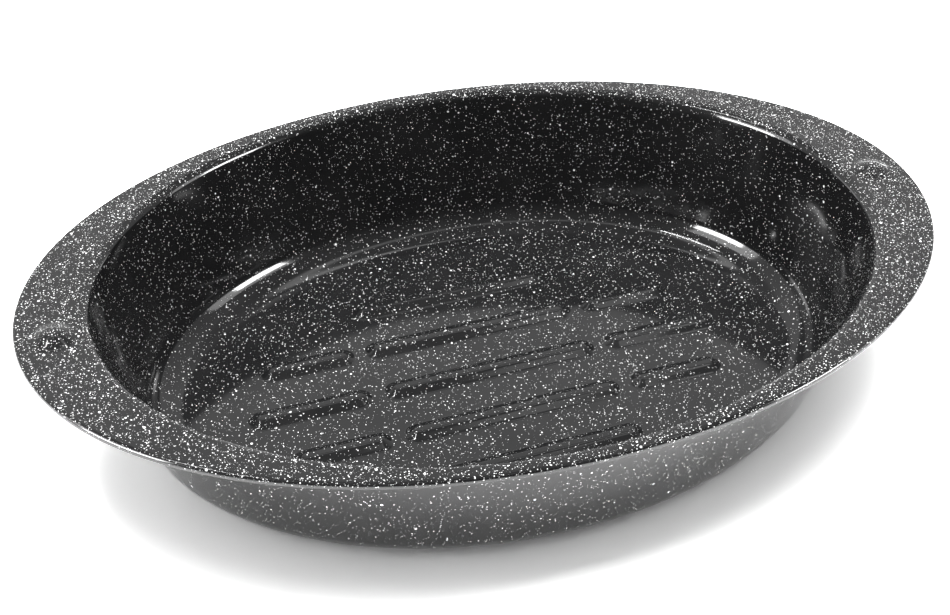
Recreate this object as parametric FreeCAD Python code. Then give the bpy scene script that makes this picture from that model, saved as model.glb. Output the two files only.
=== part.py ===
import FreeCAD, Part
import math
import os

# Open oval roasting pan: one pressed steel sheet, coated all over with fired enamel.
# Millimetres. +X runs along the pan, +Y across it, +Z up.
# The origin is on the surface that the pan stands on, under its middle.

# Overall sizes, measured over the enamel; the height is to the flange's top
overallLength = 457.0
overallWidth = 309.0
overallHeight = 79.0

# The flange's width along each long side, from the rim to where the inner wall's slope, carried on, meets it
sideFlangeWidth = 8.5

# The bowl
wallDraft = 15.0
floorCornerRadius = 20.0
mouthCornerRadius = 5.0

# The sheet, from the food side outwards: enamel, steel, enamel
enamelThickness = 0.3
steelThickness = 0.7

# The flange's edge bends down and ends in a rounded bead
rimBendRadius = 2.0
rimDrop = 3.2

# Raised ribs in the floor, in rows along X
ribWidth = 13.0
ribHeight = 2.8
ribSlopeRun = 4.4
ribRowPitch = 33.9
ribGap = 7.0
longRibLength = 114.0
outerRowRibLength = 109.0

# What the side ribs leave of the flat floor past their outer ends, in the middle row and the rows beside it
middleRowEndClearance = 30.8
sideRowEndClearance = 37.1

# A round boss pressed up in the flange at each end, and what it leaves of the flange on both sides
bossWidth = 20.0
bossHeight = 3.2
bossSlopeRun = 6.5
bossRimClearance = 7.6
bossMouthClearance = 6.4

# Worked-out sizes
sheetThickness = 2 * enamelThickness + steelThickness
endFlangeWidth = bossRimClearance + bossWidth + bossMouthClearance
flangeOval = (overallLength / 2, overallWidth / 2)
mouthOval = (flangeOval[0] - endFlangeWidth, flangeOval[1] - sideFlangeWidth)
wallTurn = math.radians(90.0 - wallDraft)

# Depths below the food side at which the three layers start and end
foodSide = 0.0
steelTop = enamelThickness
steelUnderside = enamelThickness + steelThickness
outerSide = sheetThickness


def vector(x, z):
    return FreeCAD.Vector(x, 0, z)


def flangeHeight(depth):
    return overallHeight - depth


def floorHeight(depth):
    return sheetThickness - depth


def ovalFace(oval, profile, cornerWeight=1.0):
    """Face swept round an oval by a line (two points) or an arc (start, corner, end).

    A profile point's x is its distance outside the oval, and its z is its height.
    """
    poles = []
    weights = []
    for step in range(9):
        onCorner = step % 2 == 1
        reach = math.sqrt(2.0) if onCorner else 1.0
        angle = math.radians(45.0 * step)
        roundWeight = math.sqrt(0.5) if onCorner else 1.0
        across = reach * math.cos(angle)
        along = reach * math.sin(angle)
        row = [FreeCAD.Vector((oval[0] + p.x) * across, (oval[1] + p.x) * along, p.z) for p in profile]
        poles.append(row)
        weights.append([roundWeight * (cornerWeight if i == 1 else 1.0) for i in range(len(profile))])
    degree = len(profile) - 1
    surface = Part.BSplineSurface()
    surface.buildFromPolesMultsKnots(
        poles, [3, 2, 2, 2, 3], [degree + 1, degree + 1], [0, 1, 2, 3, 4], [0, 1],
        False, False, 2, degree, weights)
    return surface.toShape()


def lineFace(oval, start, end):
    return ovalFace(oval, [start, end])


def arcFace(oval, centre, radius, startAngle, turn):
    """Arc about centre, from startAngle through turn, both in radians, swept round the oval."""
    half = turn / 2
    reach = radius / math.cos(half)
    start = centre + vector(radius * math.cos(startAngle), radius * math.sin(startAngle))
    corner = centre + vector(reach * math.cos(startAngle + half), reach * math.sin(startAngle + half))
    end = centre + vector(radius * math.cos(startAngle + turn), radius * math.sin(startAngle + turn))
    return ovalFace(oval, [start, corner, end], math.cos(half))


def ovalPlate(oval, outside, height):
    """Flat face inside the ellipse that lies a given distance outside an oval."""
    ellipse = Part.Ellipse(
        FreeCAD.Vector(oval[0] + outside, 0, height),
        FreeCAD.Vector(0, oval[1] + outside, height),
        FreeCAD.Vector(0, 0, height))
    return Part.Face(Part.Wire(ellipse.toShape()))


def floorCorner():
    """Centre of the bend between floor and wall, as distance outside the mouth and height."""
    wallFoot = -(overallHeight - sheetThickness) * math.tan(math.radians(wallDraft))
    tangent = floorCornerRadius * math.tan(wallTurn / 2)
    return vector(wallFoot - tangent, sheetThickness + floorCornerRadius)


def mouthCorner():
    """Centre of the bend between wall and flange."""
    tangent = mouthCornerRadius * math.tan(wallTurn / 2)
    return vector(tangent, overallHeight - mouthCornerRadius)


def rimBend():
    """Centre of the flange's turned-down bend, as distance outside the flange oval."""
    return vector(-rimBendRadius, overallHeight - rimBendRadius)


def beadCentre():
    """Centre of the rounded lower edge of the turned-down rim."""
    return vector(-sheetThickness / 2, overallHeight - rimDrop + sheetThickness / 2)


def sheetSkin(depth):
    """One surface of the pan, from the middle of the floor to the end of the rim's bend."""
    floorBend = floorCorner()
    mouthBend = mouthCorner()
    edgeBend = rimBend()
    draft = math.radians(wallDraft)
    floorRadius = floorCornerRadius + depth
    mouthRadius = mouthCornerRadius - depth
    intoWall = vector(math.cos(draft), -math.sin(draft))

    floor = ovalPlate(mouthOval, floorBend.x, floorHeight(depth))
    floorArc = arcFace(mouthOval, floorBend, floorRadius, math.radians(-90.0), wallTurn)
    wall = lineFace(mouthOval, floorBend + intoWall * floorRadius, mouthBend - intoWall * mouthRadius)
    mouthArc = arcFace(mouthOval, mouthBend, mouthRadius, math.radians(180.0) - draft, -wallTurn)
    flangePlate = ovalPlate(flangeOval, edgeBend.x, flangeHeight(depth))
    mouthPlate = ovalPlate(mouthOval, mouthBend.x, flangeHeight(depth))
    flange = flangePlate.cut(mouthPlate).Faces[0]
    edgeArc = arcFace(flangeOval, edgeBend, rimBendRadius - depth, math.radians(90.0), math.radians(-90.0))
    return [floor, floorArc, wall, mouthArc, flange, edgeArc]


def rimCap(outerDepth, innerDepth):
    """Narrow level ring that closes a layer where the rim's bend ends."""
    level = rimBend().z
    return lineFace(flangeOval, vector(-outerDepth, level), vector(-innerDepth, level))


def rimEdge(outerDepth, innerDepth):
    """The turned-down rim below its bend: down one side, round the edge and up the other."""
    bead = beadCentre()
    radius = (innerDepth - outerDepth) / 2
    level = rimBend().z
    quarter = math.radians(90.0)
    return [
        lineFace(flangeOval, vector(-outerDepth, level), vector(-outerDepth, bead.z)),
        arcFace(flangeOval, bead, radius, 0.0, -quarter),
        arcFace(flangeOval, bead, radius, -quarter, -quarter),
        lineFace(flangeOval, vector(-innerDepth, bead.z), vector(-innerDepth, level)),
    ]


def closedSolid(faces):
    joined = Part.Compound(faces)
    joined.sewShape()
    return Part.Solid(joined.Shells[0])


def slotWire(length, radius, height):
    """Outline with straight sides and round ends, centred on the origin along X."""
    run = length / 2 - radius
    left = FreeCAD.Vector(-run, 0, height)
    right = FreeCAD.Vector(run, 0, height)
    side = FreeCAD.Vector(0, radius, 0)
    tip = FreeCAD.Vector(radius, 0, 0)
    return Part.Wire([
        Part.LineSegment(left - side, right - side).toShape(),
        Part.Arc(right - side, right + tip, right + side).toShape(),
        Part.LineSegment(right + side, left + side).toShape(),
        Part.Arc(left + side, left - tip, left - side).toShape(),
    ])


def pressedRib(length, depth):
    """Solid under one rib, for the surface at a given depth in the sheet.

    A deeper surface's rib is narrower, so that the sheet keeps its thickness on the slopes.
    """
    slope = math.atan2(ribHeight, ribSlopeRun)
    shrink = depth * math.tan(slope / 2)
    foot = slotWire(length - 2 * shrink, ribWidth / 2 - shrink, 0)
    crest = slotWire(length - 2 * shrink - 2 * ribSlopeRun, ribWidth / 2 - shrink - ribSlopeRun, ribHeight)
    return Part.makeLoft([foot, crest], True, True)


def floorHalfLength(y):
    """How far the flat floor reaches along X at a given distance from its middle."""
    inset = floorCorner().x
    return (mouthOval[0] + inset) * math.sqrt(1.0 - (y / (mouthOval[1] + inset)) ** 2)


def ribLayout():
    """Every rib as (length, centre x, centre y)."""
    ribs = []
    for row in range(-2, 3):
        y = row * ribRowPitch
        if abs(row) == 2:
            ribs.append((outerRowRibLength, 0.0, y))
            continue
        ribs.append((longRibLength, 0.0, y))
        clearance = middleRowEndClearance if row == 0 else sideRowEndClearance
        sideStart = longRibLength / 2 + ribGap
        sideLength = floorHalfLength(y) - clearance - sideStart
        sideCentre = sideStart + sideLength / 2
        for side in (-1, 1):
            ribs.append((sideLength, side * sideCentre, y))
    return ribs


def pressedRibs(depth):
    solids = []
    for length, x, y in ribLayout():
        rib = pressedRib(length, depth)
        rib.translate(FreeCAD.Vector(x, y, floorHeight(depth)))
        solids.append(rib)
    return solids


def pressedBosses(depth):
    """Solids under both flange bosses, for the surface at a given depth in the sheet."""
    slope = math.atan2(bossHeight, bossSlopeRun)
    footRadius = bossWidth / 2 - depth * math.tan(slope / 2)
    reach = overallLength / 2 - bossRimClearance - bossWidth / 2
    solids = []
    for side in (-1, 1):
        place = FreeCAD.Vector(side * reach, 0, flangeHeight(depth))
        solids.append(Part.makeCone(footRadius, footRadius - bossSlopeRun, bossHeight, place))
    return solids


def pressed(layer, topDepth, bottomDepth):
    """Press the ribs and bosses up through one layer of the sheet."""
    raised = pressedRibs(topDepth) + pressedBosses(topDepth)
    hollowed = pressedRibs(bottomDepth) + pressedBosses(bottomDepth)
    shape = layer.fuse(raised)
    shape = shape.cut(hollowed)
    return shape.removeSplitter().Solids[0]


def insideEnamel():
    faces = sheetSkin(foodSide) + sheetSkin(steelTop) + [rimCap(foodSide, steelTop)]
    return pressed(closedSolid(faces), foodSide, steelTop)


def steelShell():
    faces = sheetSkin(steelTop) + sheetSkin(steelUnderside) + rimEdge(steelTop, steelUnderside)
    return pressed(closedSolid(faces), steelTop, steelUnderside)


def outsideEnamel():
    faces = sheetSkin(steelUnderside) + sheetSkin(outerSide) + [rimCap(steelUnderside, outerSide)]
    return pressed(closedSolid(faces), steelUnderside, outerSide)


def rimEnamel():
    faces = rimEdge(foodSide, outerSide) + rimEdge(steelTop, steelUnderside)
    faces += [rimCap(foodSide, steelTop), rimCap(steelUnderside, outerSide)]
    return closedSolid(faces)


nodes = {
    "steel_shell": steelShell,
    "inside_enamel": insideEnamel,
    "outside_enamel": outsideEnamel,
    "rim_enamel": rimEnamel,
}

os.makedirs("parts", exist_ok=True)
for name, build in nodes.items():
    shape = build()
    box = shape.BoundBox
    print(name, shape.ShapeType, "valid", shape.isValid(), "solids", len(shape.Solids),
          "volume", round(shape.Volume, 1), "faces", len(shape.Faces),
          "z", round(box.ZMin, 3), round(box.ZMax, 3))
    shape.exportStep("parts/" + name + ".step")
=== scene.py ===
import bpy
import bmesh
import math
from mathutils import Matrix, Vector


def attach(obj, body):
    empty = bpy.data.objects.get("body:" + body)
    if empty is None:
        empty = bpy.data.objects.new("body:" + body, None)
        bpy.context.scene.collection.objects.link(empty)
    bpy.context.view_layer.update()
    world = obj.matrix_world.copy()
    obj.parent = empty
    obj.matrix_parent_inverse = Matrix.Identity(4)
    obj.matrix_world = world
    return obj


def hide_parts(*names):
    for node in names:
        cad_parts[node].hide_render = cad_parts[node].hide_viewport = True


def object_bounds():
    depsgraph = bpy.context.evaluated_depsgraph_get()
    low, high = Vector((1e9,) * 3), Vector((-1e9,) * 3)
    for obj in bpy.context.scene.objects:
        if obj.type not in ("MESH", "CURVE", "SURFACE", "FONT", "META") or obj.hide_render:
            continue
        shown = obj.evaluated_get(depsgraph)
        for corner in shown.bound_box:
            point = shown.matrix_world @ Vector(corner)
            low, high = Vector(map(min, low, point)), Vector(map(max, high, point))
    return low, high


# Open oval roasting pan: speckled black enamel over one pressed steel sheet.
# Metres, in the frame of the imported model: +X along the pan, +Z up, standing on z = 0.

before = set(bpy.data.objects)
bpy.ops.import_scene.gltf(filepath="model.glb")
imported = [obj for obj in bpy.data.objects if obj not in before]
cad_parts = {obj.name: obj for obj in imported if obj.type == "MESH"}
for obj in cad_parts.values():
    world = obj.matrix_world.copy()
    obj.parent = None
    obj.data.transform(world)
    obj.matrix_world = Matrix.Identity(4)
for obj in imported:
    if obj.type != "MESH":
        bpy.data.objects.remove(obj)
cadLow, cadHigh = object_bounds()
panLength = cadHigh.x - cadLow.x
panWidth = cadHigh.y - cadLow.y

cameraSettings = {
    "azimuth": -19.85,          # degrees, 0 looks along +Y
    "elevation": 37.8,
    "roll": 0.35,
    "distance": 1.843,          # in pan lengths
    "aimAlong": 0.0223,         # in pan lengths from the middle
    "aimAcross": 0.1735,        # in pan widths from the middle
    "lens": 58.57,
}


def makeCamera(s):
    turn, lift = math.radians(s["azimuth"]), math.radians(s["elevation"])
    back = Vector((math.sin(turn) * math.cos(lift), -math.cos(turn) * math.cos(lift), math.sin(lift)))
    aim = Vector((panLength * s["aimAlong"], panWidth * s["aimAcross"], cadLow.z))
    data = bpy.data.cameras.new("studioCamera")
    data.lens = s["lens"]
    data.sensor_width = 36.0
    data.clip_start, data.clip_end = 0.02, 50.0
    camera = bpy.data.objects.new("studioCamera", data)
    bpy.context.collection.objects.link(camera)
    facing = (-back).to_track_quat("-Z", "Y").to_matrix().to_4x4()
    place = Matrix.Translation(aim + back * panLength * s["distance"])
    camera.matrix_world = place @ facing @ Matrix.Rotation(math.radians(s["roll"]), 4, "Z")
    bpy.context.scene.camera = camera
    return camera


makeCamera(cameraSettings)
print("camera placed")


class NodeBench:
    # small helper that adds and wires nodes in one tree

    def __init__(self, tree):
        self.tree = tree

    def add(self, kind, inputs=(), **settings):
        node = self.tree.nodes.new(kind)
        for key, value in settings.items():
            setattr(node, key, value)
        for slotName, value in dict(inputs).items():
            self.feed(node.inputs[slotName], value)
        return node

    def feed(self, socket, value):
        if isinstance(value, bpy.types.NodeSocket):
            self.tree.links.new(value, socket)
        elif isinstance(value, bpy.types.Node):
            self.tree.links.new(value.outputs[0], socket)
        else:
            socket.default_value = value

    def math(self, operation, first, second=0.0):
        node = self.add("ShaderNodeMath", operation=operation)
        self.feed(node.inputs[0], first)
        self.feed(node.inputs[1], second)
        return node.outputs[0]

    def blend(self, amount, low, high):
        return self.math("ADD", low, self.math("MULTIPLY", amount, self.math("SUBTRACT", high, low)))

    def ramp(self, value, start, end, smooth=True):
        # 0 at start, 1 at end
        kind = "SMOOTHSTEP" if smooth else "LINEAR"
        node = self.add("ShaderNodeMapRange", {"Value": value, "From Min": start, "From Max": end},
                        interpolation_type=kind)
        return node.outputs["Result"]


# The room's light comes mostly from behind the pan. Overhead hangs a dim screen with a bright edge,
# its limits given by how far up the sky they are (0 level, 1 straight up).
studioSettings = {
    "skyBehind": 1.12,
    "skyInFront": 0.08,
    "skyOverhead": 0.30,
    "screenStart": (0.69, 0.80),
    "ringStart": (0.878, 0.895),
    "ringEnd": (0.915, 0.930),
    "ringGlow": 4.0,
    "floorSize": 8.0,
    "paperBrightness": 2.3,     # over 1, so that lit paper comes out plain white
    "paperGap": 0.0001,         # how far the paper lies under the pan
}

# A wide panel over the pan that lights without showing in the enamel.
topPanel = {"azimuth": 180.0, "elevation": 80.0, "distance": 1.5, "size": (1.4, 1.4), "glow": 7.5}

# Soft boxes stand at an azimuth (0 is the -Y side, 90 is +X) and face the pan. They show as highlights only.
softBoxes = {
    "leftBox": {"azimuth": -79.0, "elevation": 15.0, "distance": 1.6, "size": (0.72, 0.56), "glow": 26.0},
    "leftHalo": {"azimuth": -86.0, "elevation": 23.0, "distance": 1.9, "size": (1.15, 1.20), "glow": 4.0},
    "leftStrip": {"azimuth": -85.0, "elevation": 64.0, "distance": 1.6, "size": (0.60, 0.02), "glow": 90.0},
    "rightBox": {"azimuth": 56.5, "elevation": 17.0, "distance": 1.6, "size": (0.42, 0.42), "glow": 26.0},
    "rightHalo": {"azimuth": 62.0, "elevation": 18.0, "distance": 1.9, "size": (0.90, 0.85), "glow": 3.0},
}


def makeSky(s):
    world = bpy.data.worlds.new("studioSky")
    world.use_nodes = True
    bench = NodeBench(world.node_tree)
    way = bench.add("ShaderNodeSeparateXYZ", {0: bench.add("ShaderNodeTexCoord").outputs["Generated"]})
    behind = bench.ramp(way.outputs["Y"], -1.0, 1.0, smooth=False)
    room = bench.blend(behind, s["skyInFront"], s["skyBehind"])
    overhead = bench.ramp(way.outputs["Z"], *s["screenStart"])
    screened = bench.blend(overhead, room, s["skyOverhead"])
    ringUp = bench.ramp(way.outputs["Z"], *s["ringStart"])
    ringDown = bench.ramp(way.outputs["Z"], *reversed(s["ringEnd"]))
    ringShape = bench.math("MULTIPLY", ringUp, ringDown)
    ring = bench.math("MULTIPLY", ringShape, bench.math("MULTIPLY", behind, s["ringGlow"]))
    lit = bench.math("ADD", screened, ring)
    seen = bench.add("ShaderNodeLightPath").outputs["Is Camera Ray"]
    shade = world.node_tree.nodes["Background"]
    bench.feed(shade.inputs["Strength"], bench.blend(seen, lit, 1.0))
    shade.inputs["Color"].default_value = (1.0, 1.0, 1.0, 1.0)
    bpy.context.scene.world = world
    bpy.context.scene.view_settings.view_transform = "Standard"


def makeStudioFloor(s):
    half = s["floorSize"] / 2
    mesh = bpy.data.meshes.new("studioFloor")
    level = cadLow.z - s["paperGap"]
    corners = [(-half, -half, level), (half, -half, level), (half, half, level), (-half, half, level)]
    mesh.from_pydata(corners, [], [(0, 1, 2, 3)])
    floor = bpy.data.objects.new("studioFloor", mesh)
    bpy.context.collection.objects.link(floor)
    paper = bpy.data.materials.new("paleStudioPaper")
    paper.use_nodes = True
    tree = paper.node_tree
    tree.nodes.clear()
    bench = NodeBench(tree)
    tone = s["paperBrightness"]
    diffuse = bench.add("ShaderNodeBsdfDiffuse", {"Color": (tone, tone, tone, 1.0)})
    bench.add("ShaderNodeOutputMaterial", {"Surface": diffuse})
    mesh.materials.append(paper)
    return floor


def makeSoftBox(name, s, mirrored=True):
    turn, lift = math.radians(s["azimuth"]), math.radians(s["elevation"])
    way = Vector((math.sin(turn) * math.cos(lift), -math.cos(turn) * math.cos(lift), math.sin(lift)))
    data = bpy.data.lights.new(name, "AREA")
    data.shape = "RECTANGLE"
    data.size, data.size_y = s["size"]
    data.energy = 4 * s["glow"] * s["size"][0] * s["size"][1]       # glow is per quarter square metre
    lamp = bpy.data.objects.new(name, data)
    bpy.context.collection.objects.link(lamp)
    lamp.location = way * s["distance"]
    lamp.rotation_euler = way.to_track_quat("Z", "Y").to_euler()
    lamp.visible_camera = False
    lamp.visible_glossy = mirrored
    lamp.visible_diffuse = not mirrored
    return lamp


makeSky(studioSettings)
makeStudioFloor(studioSettings)
for boxName, boxSettings in softBoxes.items():
    makeSoftBox(boxName, boxSettings)
makeSoftBox("topPanel", topPanel, mirrored=False)
print("studio lit")

panSizes = {
    "flangeHeight": 0.079,
    "mouthLength": 0.389,       # oval where the wall's slope meets the flange
    "mouthWidth": 0.292,
    "wallDraft": 15.0,
    "floorCorner": 0.020,       # food-side bend between floor and wall
    "mouthCorner": 0.005,       # food-side bend between wall and flange
    "rimBend": 0.002,
    "rimDrop": 0.0032,
    "enamel": 0.0003,
    "steel": 0.0007,
    "ripple": 0.00008,
    "rippleFoot": 0.022,        # the wall's ripples start this far up
    "rippleTop": 0.012,         # and end this far under the flange
}
meshSteps = {
    "spokes": 400,              # columns round the oval
    "floorBend": 20,
    "wall": 14,
    "mouthBend": 12,
    "rimBend": 10,
    "bead": 16,
    "pressRings": 22,           # from the middle line of a rib or boss out to its foot
    "pressEnd": 20,             # round one rounded end
}
flatLead = 0.0003               # how far each bend's mesh runs on over the flats
weldGap = 2e-6
panHeight = panSizes["flangeHeight"]
sheet = 2 * panSizes["enamel"] + panSizes["steel"]
mouthOval = (panSizes["mouthLength"] / 2, panSizes["mouthWidth"] / 2)
flangeOval = (panLength / 2, panWidth / 2)
draft = math.radians(panSizes["wallDraft"])
wallTurn = math.pi / 2 - draft


def floorBendCentre():
    foot = -(panHeight - sheet) * math.tan(draft)
    return foot - panSizes["floorCorner"] * math.tan(wallTurn / 2), sheet + panSizes["floorCorner"]


def mouthBendCentre():
    return panSizes["mouthCorner"] * math.tan(wallTurn / 2), panHeight - panSizes["mouthCorner"]


def rimBendCentre():
    return -panSizes["rimBend"], panHeight - panSizes["rimBend"]


def arcPoints(centre, radius, start, turn, steps):
    points = []
    for i in range(steps + 1):
        angle = start + turn * i / steps
        points.append((centre[0] + radius * math.cos(angle), centre[1] + radius * math.sin(angle)))
    return points


def bowlProfile(depth):
    # floor bend, wall and mouth bend, with a short flat lead at both ends
    floorBend, mouthBend = floorBendCentre(), mouthBendCentre()
    lower = arcPoints(floorBend, panSizes["floorCorner"] + depth, -math.pi / 2, wallTurn,
                      meshSteps["floorBend"])
    upper = arcPoints(mouthBend, panSizes["mouthCorner"] - depth, math.pi - draft, -wallTurn,
                      meshSteps["mouthBend"])
    wall = []
    for i in range(1, meshSteps["wall"]):
        t = i / meshSteps["wall"]
        wall.append(tuple(a + (b - a) * t for a, b in zip(lower[-1], upper[0])))
    start = (lower[0][0] - flatLead, lower[0][1])
    end = (upper[-1][0] + flatLead, upper[-1][1])
    return [start] + lower + wall + upper + [end]


def rimProfile(depth):
    # short flat lead, then the flange's turned-down bend
    bend = arcPoints(rimBendCentre(), panSizes["rimBend"] - depth, math.pi / 2, -math.pi / 2,
                     meshSteps["rimBend"])
    return [(bend[0][0] - flatLead, bend[0][1])] + bend


def beadProfile():
    # the rim below its bend, out to in, back up to the start on the steel side
    level = rimBendCentre()[1]
    centre = (-sheet / 2, panHeight - panSizes["rimDrop"] + sheet / 2)
    enamel = panSizes["enamel"]
    outer = arcPoints(centre, sheet / 2, 0.0, -math.pi, meshSteps["bead"])
    inner = arcPoints(centre, sheet / 2 - enamel, -math.pi, math.pi, meshSteps["bead"])
    return [(0.0, level)] + outer + [(-sheet, level), (enamel - sheet, level)] + inner + [(-enamel, level)]


# Three sets of waves round the wall: how many, share of the whole, where they start
rippleWaves = ((37, 0.45, 0.4), (53, 0.35, 2.1), (71, 0.20, 4.4))
rippleCrowding = 1.7            # how unevenly the waves are spaced


def drawRipple(angle, height):
    # faint upright waves that the press leaves in the wall, none at the floor and the flange
    foot = panSizes["rippleFoot"]
    rise = min(max((height - foot) / (panHeight - panSizes["rippleTop"] - foot), 0.0), 1.0)
    crowding = rippleCrowding * math.sin(3 * angle)
    waves = sum(share * math.sin(count * angle + start + crowding) for count, share, start in rippleWaves)
    return panSizes["ripple"] * waves * math.sin(math.pi * rise)


def ovalRing(build, oval, outside, height):
    ring = []
    for i in range(meshSteps["spokes"]):
        angle = 2 * math.pi * i / meshSteps["spokes"]
        reach = outside + drawRipple(angle, height)
        ring.append(build.verts.new(((oval[0] + reach) * math.cos(angle),
                                     (oval[1] + reach) * math.sin(angle), height)))
    return ring


def sweepOval(build, oval, profile, closed=False):
    rings = [ovalRing(build, oval, outside, height) for outside, height in profile]
    if closed:
        rings.append(rings[0])
    for near, far in zip(rings, rings[1:]):
        for i in range(len(near)):
            j = (i + 1) % len(near)
            build.faces.new((near[i], near[j], far[j], far[i]))
    return rings


ribSizes = {
    "width": 0.013,
    "height": 0.0028,
    "slopeRun": 0.0044,
    "edgeRound": 0.0017,        # how much of the slope is eased at crest and foot
    "rowPitch": 0.0339,
    "gap": 0.007,
    "longLength": 0.114,
    "outerRowLength": 0.109,
    "middleSideLength": 0.0635,
    "sideLength": 0.0495,
}

bossSizes = {
    "width": 0.020,
    "height": 0.0032,
    "slopeRun": 0.0065,
    "edgeRound": 0.0034,
    "inset": 0.0176,
}


def ribMarks():
    # (middle x, middle y, length) of each rib
    marks = []
    for row in range(-2, 3):
        y = row * ribSizes["rowPitch"]
        if abs(row) == 2:
            marks.append((0.0, y, ribSizes["outerRowLength"]))
            continue
        marks.append((0.0, y, ribSizes["longLength"]))
        length = ribSizes["middleSideLength"] if row == 0 else ribSizes["sideLength"]
        middle = ribSizes["longLength"] / 2 + ribSizes["gap"] + length / 2
        marks += [(-middle, y, length), (middle, y, length)]
    return marks


def bossMarks():
    reach = panLength / 2 - bossSizes["inset"]
    return [(-reach, 0.0, bossSizes["width"]), (reach, 0.0, bossSizes["width"])]


def newGeometryTree(name, inputs):
    tree = bpy.data.node_groups.new(name, "GeometryNodeTree")
    tree.interface.new_socket("Geometry", in_out="INPUT", socket_type="NodeSocketGeometry")
    for label, kind in inputs:
        tree.interface.new_socket(label, in_out="INPUT", socket_type=kind)
    tree.interface.new_socket("Geometry", in_out="OUTPUT", socket_type="NodeSocketGeometry")
    return tree


def pressedPlateTree():
    # A flat plate between outline loops, with a raised round-ended press at each loose point.
    # The input mesh holds the plate's outlines as edges, and one loose point with a halfRun for each press.
    inputs = [(label, "NodeSocketFloat") for label in (
        "Foot Radius", "Slope Run", "Edge Round", "Rise", "Margin")]
    inputs += [("Rings", "NodeSocketInt"), ("End Steps", "NodeSocketInt"), ("Finish", "NodeSocketMaterial")]
    tree = newGeometryTree("pressedPlate", inputs)
    bench = NodeBench(tree)
    given = bench.add("NodeGroupInput").outputs
    sizeOut = bench.math("ADD", given["Foot Radius"], given["Margin"])

    neighbours = bench.add("GeometryNodeInputMeshVertexNeighbors").outputs["Vertex Count"]
    isLoose = bench.add("FunctionNodeCompare", {"A": neighbours, "B": 0}, data_type="INT", operation="EQUAL")
    split = bench.add("GeometryNodeSeparateGeometry", {"Geometry": given["Geometry"], "Selection": isLoose},
                      domain="POINT")
    marks = bench.add("GeometryNodeMeshToPoints", {"Mesh": split.outputs["Selection"]}).outputs[0]
    halfRun = bench.add("GeometryNodeInputNamedAttribute", {"Name": "halfRun"}, data_type="FLOAT")
    runOut = halfRun.outputs["Attribute"]

    # one round end: a grid bent into a half disc, u round the end and v out from its middle
    uCount = bench.math("ADD", given["End Steps"], 1)
    vCount = bench.math("ADD", given["Rings"], 1)
    endGrid = bench.add("GeometryNodeMeshGrid", {"Size X": 1.0, "Size Y": 1.0,
                                                 "Vertices X": uCount, "Vertices Y": vCount})
    gridPlace = bench.add("ShaderNodeSeparateXYZ", {0: bench.add("GeometryNodeInputPosition")})
    angle = bench.math("MULTIPLY", gridPlace.outputs["X"], -math.pi)
    outward = bench.math("ADD", gridPlace.outputs["Y"], 0.5)
    radius = bench.math("MULTIPLY", outward, sizeOut)
    endPlace = bench.add("ShaderNodeCombineXYZ", {
        "X": bench.math("MULTIPLY", radius, bench.math("COSINE", angle)),
        "Y": bench.math("MULTIPLY", radius, bench.math("SINE", angle))})
    endDisc = bench.add("GeometryNodeSetPosition", {
        "Geometry": endGrid.outputs["Mesh"], "Position": endPlace})

    # the straight run: one cell along, the same rings across, scaled along X to each press's length
    crossCount = bench.math("ADD", bench.math("MULTIPLY", given["Rings"], 2), 1)
    barGrid = bench.add("GeometryNodeMeshGrid", {
        "Size X": 2.0, "Size Y": bench.math("MULTIPLY", sizeOut, 2.0),
        "Vertices X": 2, "Vertices Y": crossCount})
    barScale = bench.add("ShaderNodeCombineXYZ", {"X": runOut, "Y": 1.0, "Z": 1.0})
    bars = bench.add("GeometryNodeInstanceOnPoints", {
        "Points": marks, "Instance": barGrid.outputs["Mesh"], "Scale": barScale})

    ends = []
    for side in (1.0, -1.0):
        shift = bench.add("ShaderNodeCombineXYZ", {"X": bench.math("MULTIPLY", runOut, side)})
        moved = bench.add("GeometryNodeSetPosition", {"Geometry": marks, "Offset": shift})
        ends.append(bench.add("GeometryNodeInstanceOnPoints", {
            "Points": moved, "Instance": endDisc,
            "Rotation": (0.0, 0.0, 0.0 if side > 0 else math.pi)}))

    joined = bench.add("GeometryNodeJoinGeometry")
    for part in [bars] + ends:
        tree.links.new(part.outputs[0], joined.inputs[0])
    real = bench.add("GeometryNodeRealizeInstances", {"Geometry": joined})
    welded = bench.add("GeometryNodeMergeByDistance", {"Geometry": real, "Distance": weldGap / 2})

    # distance from each press's centre line sets its height
    lineMarks = bench.add("GeometryNodeMeshLine", {
        "Count": 2, "Start Location": (-1.0, 0, 0), "Offset": (2.0, 0, 0)}, mode="OFFSET")
    lines = bench.add("GeometryNodeInstanceOnPoints", {
        "Points": marks, "Instance": lineMarks, "Scale": barScale})
    centreLines = bench.add("GeometryNodeRealizeInstances", {"Geometry": lines})
    near = bench.add("GeometryNodeProximity", {"Geometry": centreLines}, target_element="EDGES")
    distance = near.outputs["Distance"]

    def easedRamp(value):
        # 0 before zero, value after it, eased over Edge Round
        edgeRound = given["Edge Round"]
        half = bench.math("MULTIPLY", edgeRound, 0.5)
        lifted = bench.math("ADD", value, half)
        held = bench.math("MAXIMUM", bench.math("MINIMUM", lifted, edgeRound), 0.0)
        eased = bench.math("DIVIDE", bench.math("MULTIPLY", held, held), bench.math("MULTIPLY", half, 4.0))
        past = bench.math("MAXIMUM", bench.math("SUBTRACT", value, half), 0.0)
        return bench.math("ADD", eased, past)

    crest = bench.math("SUBTRACT", given["Foot Radius"], given["Slope Run"])
    fromCrest = easedRamp(bench.math("SUBTRACT", distance, crest))
    fromFoot = easedRamp(bench.math("SUBTRACT", distance, given["Foot Radius"]))
    fall = bench.math("DIVIDE", bench.math("SUBTRACT", fromCrest, fromFoot), given["Slope Run"])
    height = bench.math("MULTIPLY", bench.math("SUBTRACT", 1.0, fall), given["Rise"])
    lift = bench.add("ShaderNodeCombineXYZ", {"Z": height})
    pressed = bench.add("GeometryNodeSetPosition", {"Geometry": welded, "Offset": lift})

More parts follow.
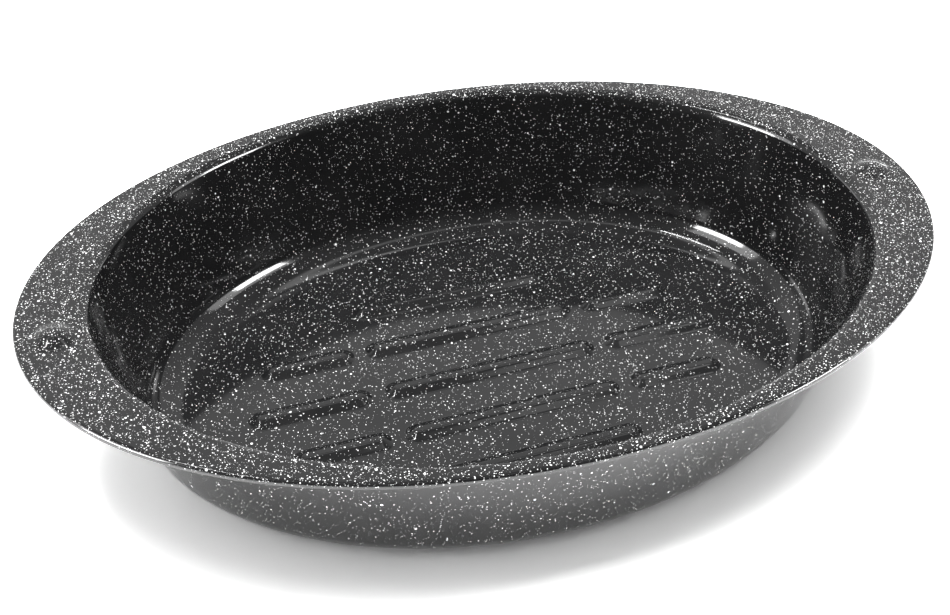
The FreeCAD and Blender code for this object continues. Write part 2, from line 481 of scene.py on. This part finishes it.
    # the plate itself: outlines and the presses' own edges, filled between
    onEdge = bench.add("FunctionNodeCompare", {
        "A": bench.add("GeometryNodeInputMeshEdgeNeighbors").outputs[0], "B": 1},
        data_type="INT", operation="EQUAL")
    pressOutlines = bench.add("GeometryNodeMeshToCurve", {"Mesh": welded, "Selection": onEdge})
    plateOutlines = bench.add("GeometryNodeMeshToCurve", {"Mesh": split.outputs["Inverted"]})
    outlines = bench.add("GeometryNodeJoinGeometry")
    tree.links.new(pressOutlines.outputs[0], outlines.inputs[0])
    tree.links.new(plateOutlines.outputs[0], outlines.inputs[0])
    plate = bench.add("GeometryNodeFillCurve", {"Curve": outlines}, mode="TRIANGLES")

    whole = bench.add("GeometryNodeJoinGeometry")
    tree.links.new(plate.outputs[0], whole.inputs[0])
    tree.links.new(pressed.outputs[0], whole.inputs[0])
    sound = bench.add("GeometryNodeMergeByDistance", {"Geometry": whole, "Distance": weldGap / 2})
    smooth = bench.add("GeometryNodeSetShadeSmooth", {"Geometry": sound})
    out = bench.add("GeometryNodeRealizeInstances", {"Geometry": smooth})
    finish = bench.add("GeometryNodeSetMaterial", {"Geometry": out, "Material": given["Finish"]})
    bench.add("NodeGroupOutput", {"Geometry": finish})
    return tree


def plainMesh(ob, name):
    # the evaluated result as a plain mesh, with the modifier gone
    made = bpy.data.meshes.new_from_object(ob.evaluated_get(bpy.context.evaluated_depsgraph_get()))
    made.name = name
    ob.modifiers.clear()
    bpy.data.objects.remove(ob, do_unlink=True)
    return made


def pressedPlate(name, outlines, marks, height, values):
    # outlines: (oval, outside) pairs; marks: (x, y, length) triples
    build = bmesh.new()
    halfRuns = []
    for oval, outside in outlines:
        ring = ovalRing(build, oval, outside, 0.0)
        for i, vert in enumerate(ring):
            build.edges.new((vert, ring[(i + 1) % len(ring)]))
            halfRuns.append(0.0)
    for x, y, length in marks:
        build.verts.new((x, y, 0.0))
        halfRuns.append(max(length / 2 - values["Full Radius"], shortestRun))
    mesh = bpy.data.meshes.new(name)
    build.to_mesh(mesh)
    build.free()
    mesh.attributes.new("halfRun", "FLOAT", "POINT").data.foreach_set("value", halfRuns)
    ob = bpy.data.objects.new(name, mesh)
    bpy.context.collection.objects.link(ob)
    modifier = ob.modifiers.new("pressedPlate", "NODES")
    modifier.node_group = plateTree
    for item in plateTree.interface.items_tree:
        if item.in_out == "INPUT" and item.name in values:
            modifier[item.identifier] = values[item.name]
    made = plainMesh(ob, name)
    made.transform(Matrix.Translation((0, 0, height)))
    return made


plateTree = pressedPlateTree()
shortestRun = 1e-5              # a round boss keeps this much straight run, so that its two ends join
pressMargin = 0.0002            # flat mesh kept round the foot of each rib and boss


def pressValues(sizes, depth, enamel):
    slope = math.atan2(sizes["height"], sizes["slopeRun"])
    footRadius = sizes["width"] / 2 - depth * math.tan(slope / 2)
    rise = sizes["height"]
    return {
        "Full Radius": sizes["width"] / 2, "Foot Radius": footRadius, "Slope Run": sizes["slopeRun"],
        "Edge Round": sizes["edgeRound"], "Rise": rise, "Margin": sizes["edgeRound"] / 2 + pressMargin,
        "Rings": meshSteps["pressRings"], "End Steps": meshSteps["pressEnd"], "Finish": enamel,
    }


def sheetSkin(name, depth, enamel):
    # one whole face of the pan, from the middle of the floor to the end of the rim's bend
    build = bmesh.new()
    sweepOval(build, mouthOval, bowlProfile(depth))
    sweepOval(build, flangeOval, rimProfile(depth))
    floorEdge = (mouthOval, floorBendCentre()[0] - flatLead)
    flangeInside = (mouthOval, mouthBendCentre()[0] + flatLead)
    flangeOutside = (flangeOval, rimBendCentre()[0] - flatLead)
    floorPlate = pressedPlate(name + "Floor", [floorEdge], ribMarks(), sheet - depth,
                              pressValues(ribSizes, depth, enamel))
    flangePlate = pressedPlate(name + "Flange", [flangeInside, flangeOutside], bossMarks(), panHeight - depth,
                               pressValues(bossSizes, depth, enamel))
    for plate in (floorPlate, flangePlate):
        build.from_mesh(plate)
    bmesh.ops.remove_doubles(build, verts=build.verts, dist=weldGap)
    return build


def enamelCoat(name, near, far, enamel):
    # one coat as a closed shell: its two faces, and the narrow ring that joins them at the rim
    build = bmesh.new()
    for depth in (near, far):
        skin = sheetSkin(name, depth, enamel)
        mesh = bpy.data.meshes.new(name + "Face")
        skin.to_mesh(mesh)
        skin.free()
        build.from_mesh(mesh)
        bpy.data.meshes.remove(mesh)
    level = rimBendCentre()[1]
    sweepOval(build, flangeOval, [(-near, level), (-far, level)])
    bmesh.ops.remove_doubles(build, verts=build.verts, dist=weldGap)
    return build


sharpFrom = 42                  # degrees; gentler edges are shaded smooth


def finishPiece(name, build, enamel):
    bmesh.ops.recalc_face_normals(build, faces=build.faces)
    openEdges = sum(1 for edge in build.edges if len(edge.link_faces) != 2)
    for face in build.faces:
        face.smooth = True
    mesh = bpy.data.meshes.new(name)
    build.to_mesh(mesh)
    build.free()
    mesh.set_sharp_from_angle(angle=math.radians(sharpFrom))
    mesh.materials.clear()
    mesh.materials.append(enamel)
    piece = bpy.data.objects.new(name, mesh)
    bpy.context.collection.objects.link(piece)
    print(name, "made:", len(mesh.polygons), "faces,", openEdges, "open edges")
    return piece


speckleSettings = {
    "ground": (0.0072, 0.0073, 0.0076),
    "groundLighter": (0.0110, 0.0110, 0.0113),
    "fleck": (1.0, 1.0, 1.0),
    "gloss": 0.075,
    "glossWorn": 0.13,
    "orangePeel": 0.10,
    "peelScale": 160.0,
    "cloudScale": 22.0,         # patches of lighter ground
    "wearScale": 60.0,          # patches of duller gloss
    "waver": 0.00008,           # how far a fleck's edge wanders
    "waverScale": 900.0,
    "bowlDensity": 0.36,        # share of the flecks that are there
    "flangeDensity": 0.95,
    "flangeBlend": 0.0030,      # depth under the flange's top over which the one turns into the other
}

# Flecks of glass frit: cell size, smallest and largest radius, how white
fleckLayers = {
    "largeFlecks": {"cell": 0.0042, "radius": (0.00034, 0.00072), "white": (0.9, 1.0)},
    "whiteFlecks": {"cell": 0.00102, "radius": (0.00015, 0.00036), "white": (0.8, 1.0)},
    "dustFlecks": {"cell": 0.00085, "radius": (0.00008, 0.00017), "white": (0.3, 0.9)},
}


# The outside takes fewer flecks and flows out a little smoother.
outerSettings = dict(speckleSettings, bowlDensity=0.30, flangeDensity=0.5, orangePeel=0.08)

# The glaze draws thin round the edge and holds few flecks.
rimSettings = dict(speckleSettings, bowlDensity=0.5, flangeDensity=0.5,
                   groundLighter=(0.0085, 0.0085, 0.0088), orangePeel=0.05)
rimFlecks = {
    "mediumFlecks": {"cell": 0.0048, "radius": (0.0002, 0.0006), "white": (0.35, 0.9)},
    "dustFlecks": {"cell": 0.0016, "radius": (0.00006, 0.00020), "white": (0.08, 0.4)},
}


def blankFinish(name):
    material = bpy.data.materials.new(name)
    material.use_nodes = True
    bench = NodeBench(material.node_tree)
    shader = material.node_tree.nodes["Principled BSDF"]
    place = bench.add("ShaderNodeTexCoord").outputs["Object"]
    return material, bench, shader, place


layerShift = (0.37, 0.11, 0.23)     # moves each layer's flecks clear of the last one's


def speckledEnamel(name, s, layers):
    material, bench, shader, place = blankFinish(name)

    wander = bench.add("ShaderNodeTexNoise", {"Vector": place, "Scale": s["waverScale"], "Detail": 1.0})
    centred = bench.add("ShaderNodeVectorMath", {0: wander.outputs["Color"], 1: (0.5, 0.5, 0.5)},
                        operation="SUBTRACT")
    swing = bench.add("ShaderNodeVectorMath", {0: centred, "Scale": 2.0 * s["waver"]}, operation="SCALE")
    wavy = bench.add("ShaderNodeVectorMath", {0: place, 1: swing}, operation="ADD")

    # the flange holds more flecks than the walls and floor
    height = bench.add("ShaderNodeSeparateXYZ", {0: place}).outputs["Z"]
    onFlange = bench.ramp(height, panHeight - s["flangeBlend"], panHeight - s["flangeBlend"] / 5)
    density = bench.blend(onFlange, s["bowlDensity"], s["flangeDensity"])

    white = 0.0
    for index, layer in enumerate(layers.values()):
        shifted = bench.add("ShaderNodeVectorMath", {0: wavy, 1: Vector(layerShift) * index}, operation="ADD")
        cells = bench.add("ShaderNodeTexVoronoi", {"Vector": shifted, "Scale": 1.0 / layer["cell"]},
                          voronoi_dimensions="3D")
        seedPlace = bench.add("ShaderNodeVectorMath", {
            0: cells.outputs["Position"], "Scale": 1.0 / layer["cell"]}, operation="SCALE")
        cellCorner = bench.add("ShaderNodeVectorMath", {0: seedPlace}, operation="FLOOR")
        dice = bench.add("ShaderNodeTexWhiteNoise", {"Vector": cellCorner, "W": index + 0.5},
                         noise_dimensions="4D")
        chance = bench.add("ShaderNodeSeparateXYZ", {0: dice.outputs["Color"]})
        distance = bench.math("MULTIPLY", cells.outputs["Distance"], layer["cell"])
        small, large = layer["radius"]
        squared = bench.math("MULTIPLY", chance.outputs["X"], chance.outputs["X"])
        radius = bench.blend(squared, small, large)
        inside = bench.ramp(bench.math("DIVIDE", distance, radius), 1.0, 0.8)
        dim, bright = layer["white"]
        kept = bench.math("LESS_THAN", chance.outputs["Z"], density)
        strength = bench.math("MULTIPLY", bench.blend(chance.outputs["Y"], dim, bright), kept)
        white = bench.math("MAXIMUM", white, bench.math("MULTIPLY", inside, strength))

    cloud = bench.add("ShaderNodeTexNoise", {"Vector": place, "Scale": s["cloudScale"], "Detail": 3.0})
    clouded = bench.ramp(cloud.outputs["Fac"], 0.35, 0.7)
    ground = bench.add("ShaderNodeMix", {"Factor": clouded}, data_type="RGBA")
    ground.inputs["A"].default_value = s["ground"] + (1.0,)
    ground.inputs["B"].default_value = s["groundLighter"] + (1.0,)
    coloured = bench.add("ShaderNodeMix", {"Factor": white}, data_type="RGBA")
    bench.feed(coloured.inputs["A"], ground.outputs["Result"])
    coloured.inputs["B"].default_value = s["fleck"] + (1.0,)
    bench.feed(shader.inputs["Base Color"], coloured.outputs["Result"])

    smear = bench.add("ShaderNodeTexNoise", {"Vector": place, "Scale": s["wearScale"], "Detail": 4.0})
    worn = bench.ramp(smear.outputs["Fac"], 0.45, 0.75)
    bench.feed(shader.inputs["Roughness"], bench.blend(worn, s["gloss"], s["glossWorn"]))

    peel = bench.add("ShaderNodeTexNoise", {"Vector": place, "Scale": s["peelScale"], "Detail": 1.0})
    bump = bench.add("ShaderNodeBump", {
        "Strength": s["orangePeel"], "Distance": 0.0001, "Height": peel.outputs["Fac"]})
    bench.feed(shader.inputs["Normal"], bump.outputs["Normal"])
    return material


# The steel is closed in by enamel; its cut edge and faces keep a rolled grain.
steelSettings = {
    "bright": (0.56, 0.55, 0.53),
    "dull": (0.40, 0.39, 0.38),
    "smooth": 0.28,
    "rough": 0.46,
    "grainStretch": (6.0, 400.0, 400.0),
    "grainDepth": 0.00005,
}


def rolledSteel(name, s):
    material, bench, shader, place = blankFinish(name)
    stretched = bench.add("ShaderNodeMapping", {"Vector": place, "Scale": s["grainStretch"]})
    grain = bench.add("ShaderNodeTexNoise", {"Vector": stretched, "Scale": 3.0, "Detail": 4.0}).outputs["Fac"]
    shade = bench.ramp(grain, 0.3, 0.7)
    colour = bench.add("ShaderNodeMix", {"Factor": shade}, data_type="RGBA")
    colour.inputs["A"].default_value = s["dull"] + (1.0,)
    colour.inputs["B"].default_value = s["bright"] + (1.0,)
    bench.feed(shader.inputs["Base Color"], colour.outputs["Result"])
    bench.feed(shader.inputs["Roughness"], bench.blend(shade, s["rough"], s["smooth"]))
    bump = bench.add("ShaderNodeBump", {"Strength": 0.2, "Distance": s["grainDepth"], "Height": grain})
    bench.feed(shader.inputs["Normal"], bump.outputs["Normal"])
    shader.inputs["Metallic"].default_value = 1.0
    return material


enamelBlack = speckledEnamel("speckledEnamel", speckleSettings, fleckLayers)
outerEnamel = speckledEnamel("outerSpeckledEnamel", outerSettings, fleckLayers)
rimEnamel = speckledEnamel("rimEnamel", rimSettings, rimFlecks)
steelFinish = rolledSteel("rolledSteel", steelSettings)

steelTop = panSizes["enamel"]
steelUnderside = panSizes["enamel"] + panSizes["steel"]

innerBuild = enamelCoat("foodSide", 0.0, steelTop, enamelBlack)
insideCoat = finishPiece("insideEnamelCoat", innerBuild, enamelBlack)
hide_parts("inside_enamel")
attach(insideCoat, "root")

outerBuild = enamelCoat("outerSide", steelUnderside, sheet, outerEnamel)
outsideCoat = finishPiece("outsideEnamelCoat", outerBuild, outerEnamel)
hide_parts("outside_enamel")
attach(outsideCoat, "root")

beadBuild = bmesh.new()
sweepOval(beadBuild, flangeOval, beadProfile(), closed=True)
rimBead = finishPiece("rimBead", beadBuild, rimEnamel)
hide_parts("rim_enamel")
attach(rimBead, "root")

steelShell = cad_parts["steel_shell"]
for slot in steelShell.material_slots:
    slot.material = steelFinish
print("steel finished")
